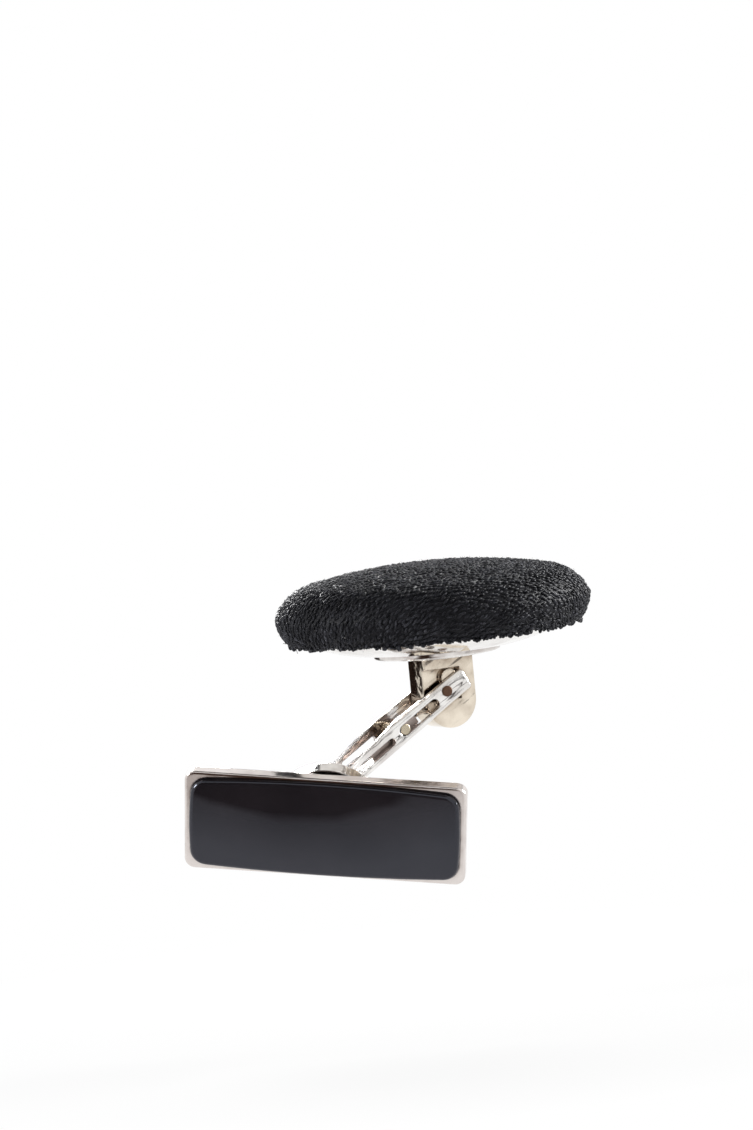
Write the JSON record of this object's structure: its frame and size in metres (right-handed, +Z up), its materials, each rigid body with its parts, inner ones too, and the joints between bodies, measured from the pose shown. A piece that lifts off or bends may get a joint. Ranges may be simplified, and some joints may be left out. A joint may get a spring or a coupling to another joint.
{
  "type": "cufflink",
  "caption": "Cufflink with a round fabric-covered button on a hinged folded arm, and a rectangular enamelled plate that tilts and swivels at the arm's other end.",
  "frame": {"origin": "middle of the button's metal back, where the post leaves it", "axes": "+Z up through the button's crown, Y along the hinge pin of the arm, -X the way the arm folds"},
  "size_m": [0.0283, 0.02, 0.0195],
  "materials": {
    "black_fabric": "matt weave",
    "wadding": "matt felt",
    "cap_metal": "pressed",
    "silver": "polished",
    "rivet_brass": "polished",
    "spring_steel": "bright",
    "black_enamel": "gloss"
  },
  "bodies": {
    "button": {"fabric_cover": "black_fabric", "wadding_disc": "wadding", "button_shell": "cap_metal", "back_cup": "silver", "post_flange": "silver", "post_tongue": "silver"},
    "arm": {"arm_channel": "silver", "hinge_pin": "silver", "cross_rivet": "rivet_brass", "leaf_spring": "spring_steel"},
    "foot": {"foot_fork": "silver", "foot_pin": "silver", "foot_pad": "silver"},
    "plate": {"swivel_stud": "silver", "swivel_washer": "silver", "plate_tray": "silver", "enamel_inlay": "black_enamel"}
  },
  "joints": [
    {"name": "arm_fold", "type": "hinge", "parent": "button", "child": "arm", "pos_m": [-0.00032, 0, -0.0027], "axis": [0, 1, 0], "range_deg": [-60, 12]},
    {"name": "plate_tilt", "type": "hinge", "parent": "arm", "child": "foot", "pos_m": [-0.00814, 0, -0.00808], "axis": [0.5, 0, -0.866], "range_deg": [-16.5, 113.5]},
    {"name": "plate_swivel", "type": "hinge", "parent": "foot", "child": "plate", "pos_m": [-0.00814, 0, -0.00808], "axis": [-0.5738, -0.749, -0.3313], "continuous": true}
  ]
}
